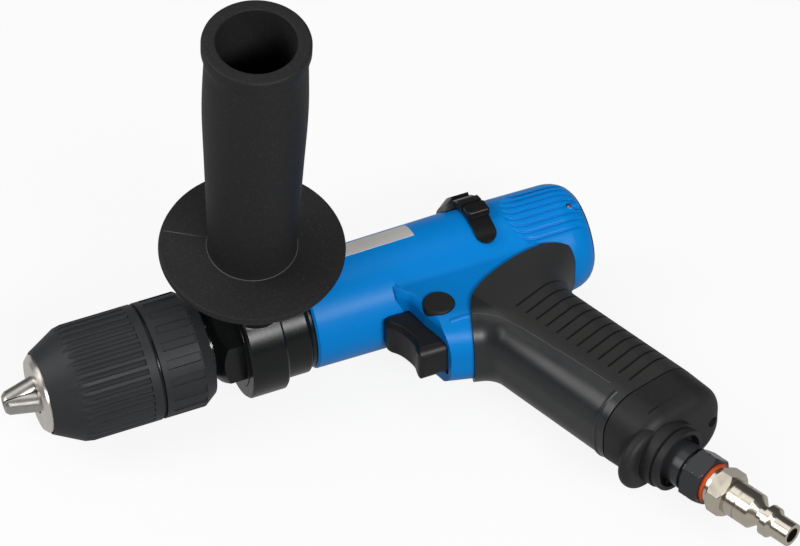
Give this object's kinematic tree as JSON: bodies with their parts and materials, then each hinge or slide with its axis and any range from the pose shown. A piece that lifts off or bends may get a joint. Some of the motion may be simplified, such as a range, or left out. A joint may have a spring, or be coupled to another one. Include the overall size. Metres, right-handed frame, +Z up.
{
  "type": "air drill",
  "caption": "Pistol-grip air drill with a keyless chuck, side handle, reverse lever, trigger and quick-connect air plug, lying on its side.",
  "frame": {"origin": "middle of the outline in plan, at the lowest point", "axes": "+X from the chuck to the rear of the motor, -Y down the grip, +Z up the side handle"},
  "size_m": [0.2304, 0.1942, 0.1856],
  "materials": {
    "blue_housing": "satin paint on cast aluminium",
    "black_metal": "semi-gloss black",
    "black_plastic": "fine-grained moulded plastic",
    "gloss_black": "glossy moulded plastic",
    "rubber": "matte rubber",
    "nickel": "nickel-plated, turned",
    "steel": "ground steel",
    "chrome": "bright",
    "bronze": "plain",
    "aluminium": "machined",
    "red_seal": "orange-red nylon",
    "fibre": "laminated vane material"
  },
  "bodies": {
    "drill": {"gear_case": "black_metal", "front_nut": "black_metal", "ring_gear": "steel", "spindle_bearing_outer_races": "steel", "rotor_bearing_outer_races": "steel", "front_end_plate": "steel", "rear_end_plate": "steel", "motor_liner": "steel", "valve_plate": "aluminium", "motor_housing": "blue_housing", "rear_cap": "black_plastic", "rear_screws": "nickel", "throttle_bush": "bronze", "grip_sleeve": "rubber", "grip_end_cap": "black_plastic", "end_cap_screw": "black_metal", "exhaust_ring": "black_plastic", "inlet_bushing": "black_metal", "inlet_screen": "bronze", "inlet_seal": "red_seal", "air_plug": "nickel"},
    "spindle": {"spindle": "chrome", "second_stage_pins": "steel", "spindle_bearing_inner_races": "steel", "spindle_bearing_balls": "steel", "chuck_body": "steel", "chuck_rear_sleeve": "black_plastic", "chuck_screw": "steel"},
    "chuck_sleeve": {"chuck_front_sleeve": "black_plastic", "chuck_nut": "steel", "chuck_thrust_ring": "steel"},
    "first_carrier": {"first_carrier": "steel", "first_stage_pins": "steel"},
    "rotor": {"rotor": "steel", "rotor_vanes": "fibre", "rotor_bearing_inner_races": "steel", "rotor_bearing_balls": "steel"},
    "trigger": {"trigger": "gloss_black", "throttle_stem": "steel", "valve_spring": "steel"},
    "push_button": {"push_button": "black_plastic"},
    "reverse_lever": {"reverse_lever": "gloss_black", "reverse_valve": "aluminium"},
    "handle_clamp": {"handle_clamp": "black_metal", "clamp_shoe": "aluminium"},
    "side_handle": {"side_handle": "black_plastic", "handle_bolt": "steel"},
    "jaw_1": {"chuck_jaw_1": "steel"},
    "second_planet_1": {"second_stage_planet_1": "steel"},
    "first_planet_1": {"first_stage_planet_1": "steel"},
    "jaw_2": {"chuck_jaw_2": "steel"},
    "second_planet_2": {"second_stage_planet_2": "steel"},
    "first_planet_2": {"first_stage_planet_2": "steel"},
    "jaw_3": {"chuck_jaw_3": "steel"},
    "second_planet_3": {"second_stage_planet_3": "steel"},
    "first_planet_3": {"first_stage_planet_3": "steel"}
  },
  "joints": [
    {"name": "spindle_spin", "type": "hinge", "parent": "drill", "child": "spindle", "pos_m": [-0.00317, 0.07168, 0.0237], "axis": [1, 0, 0], "continuous": true},
    {"name": "rotor_spin", "type": "hinge", "parent": "drill", "child": "rotor", "pos_m": [0.04383, 0.07168, 0.0237], "axis": [1, 0, 0], "continuous": true},
    {"name": "first_carrier_spin", "type": "hinge", "parent": "drill", "child": "first_carrier", "pos_m": [0.00883, 0.07168, 0.0237], "axis": [1, 0, 0], "continuous": true},
    {"name": "chuck_sleeve_turn", "type": "hinge", "parent": "spindle", "child": "chuck_sleeve", "pos_m": [-0.07817, 0.07168, 0.0237], "axis": [-1, 0, 0], "range_deg": [0, 3600]},
    {"name": "jaw_1_slide", "type": "slide", "parent": "spindle", "child": "jaw_1", "axis": [0.9659, -0.2588, 0], "range_m": [0, 0.0222]},
    {"name": "second_planet_1_spin", "type": "hinge", "parent": "spindle", "child": "second_planet_1", "pos_m": [0.00273, 0.06268, 0.0237], "axis": [1, 0, 0], "continuous": true},
    {"name": "first_planet_1_spin", "type": "hinge", "parent": "first_carrier", "child": "first_planet_1", "pos_m": [0.01473, 0.06268, 0.0237], "axis": [1, 0, 0], "continuous": true},
    {"name": "jaw_2_slide", "type": "slide", "parent": "spindle", "child": "jaw_2", "axis": [0.9659, 0.1294, 0.2241], "range_m": [0, 0.0222]},
    {"name": "second_planet_2_spin", "type": "hinge", "parent": "spindle", "child": "second_planet_2", "pos_m": [0.00273, 0.07618, 0.03149], "axis": [1, 0, 0], "continuous": true},
    {"name": "first_planet_2_spin", "type": "hinge", "parent": "first_carrier", "child": "first_planet_2", "pos_m": [0.01473, 0.07618, 0.03149], "axis": [1, 0, 0], "continuous": true},
    {"name": "jaw_3_slide", "type": "slide", "parent": "spindle", "child": "jaw_3", "axis": [0.9659, 0.1294, -0.2241], "range_m": [0, 0.0222]},
    {"name": "second_planet_3_spin", "type": "hinge", "parent": "spindle", "child": "second_planet_3", "pos_m": [0.00273, 0.07618, 0.01591], "axis": [1, 0, 0], "continuous": true},
    {"name": "first_planet_3_spin", "type": "hinge", "parent": "first_carrier", "child": "first_planet_3", "pos_m": [0.01473, 0.07618, 0.01591], "axis": [1, 0, 0], "continuous": true},
    {"name": "trigger_slide", "type": "slide", "parent": "drill", "child": "trigger", "axis": [1, 0, 0], "range_m": [0, 0.005], "stiffness_N_per_m": 1200, "springref_m": -0.004},
    {"name": "push_button_slide", "type": "slide", "parent": "drill", "child": "push_button", "axis": [0, 0, -1], "range_m": [0, 0.002], "stiffness_N_per_m": 1000, "springref_m": -0.002},
    {"name": "reverse_lever_turn", "type": "hinge", "parent": "drill", "child": "reverse_lever", "pos_m": [0.06733, 0.07168, 0.0237], "axis": [-1, 0, 0], "range_deg": [0, 80]},
    {"name": "handle_swivel", "type": "hinge", "parent": "drill", "child": "handle_clamp", "pos_m": [-0.02207, 0.07168, 0.0237], "axis": [1, 0, 0], "continuous": true},
    {"name": "handle_screw", "type": "hinge", "parent": "handle_clamp", "child": "side_handle", "pos_m": [-0.02207, 0.05641, 0.10223], "axis": [0, -0.1908, 0.9816], "range_deg": [0, 720]}
  ],
  "couplings": [
    {"joint": "rotor_spin", "follows": "spindle_spin", "ratio": 25},
    {"joint": "first_carrier_spin", "follows": "spindle_spin", "ratio": 5},
    {"joint": "jaw_1_slide", "follows": "chuck_sleeve_turn", "m_per_rad": 0.00035332},
    {"joint": "second_planet_1_spin", "follows": "spindle_spin", "ratio": -2.6667},
    {"joint": "first_planet_1_spin", "follows": "spindle_spin", "ratio": -13.333},
    {"joint": "jaw_2_slide", "follows": "chuck_sleeve_turn", "m_per_rad": 0.00035332},
    {"joint": "second_planet_2_spin", "follows": "spindle_spin", "ratio": -2.6667},
    {"joint": "first_planet_2_spin", "follows": "spindle_spin", "ratio": -13.333},
    {"joint": "jaw_3_slide", "follows": "chuck_sleeve_turn", "m_per_rad": 0.00035332},
    {"joint": "second_planet_3_spin", "follows": "spindle_spin", "ratio": -2.6667},
    {"joint": "first_planet_3_spin", "follows": "spindle_spin", "ratio": -13.333}
  ]
}
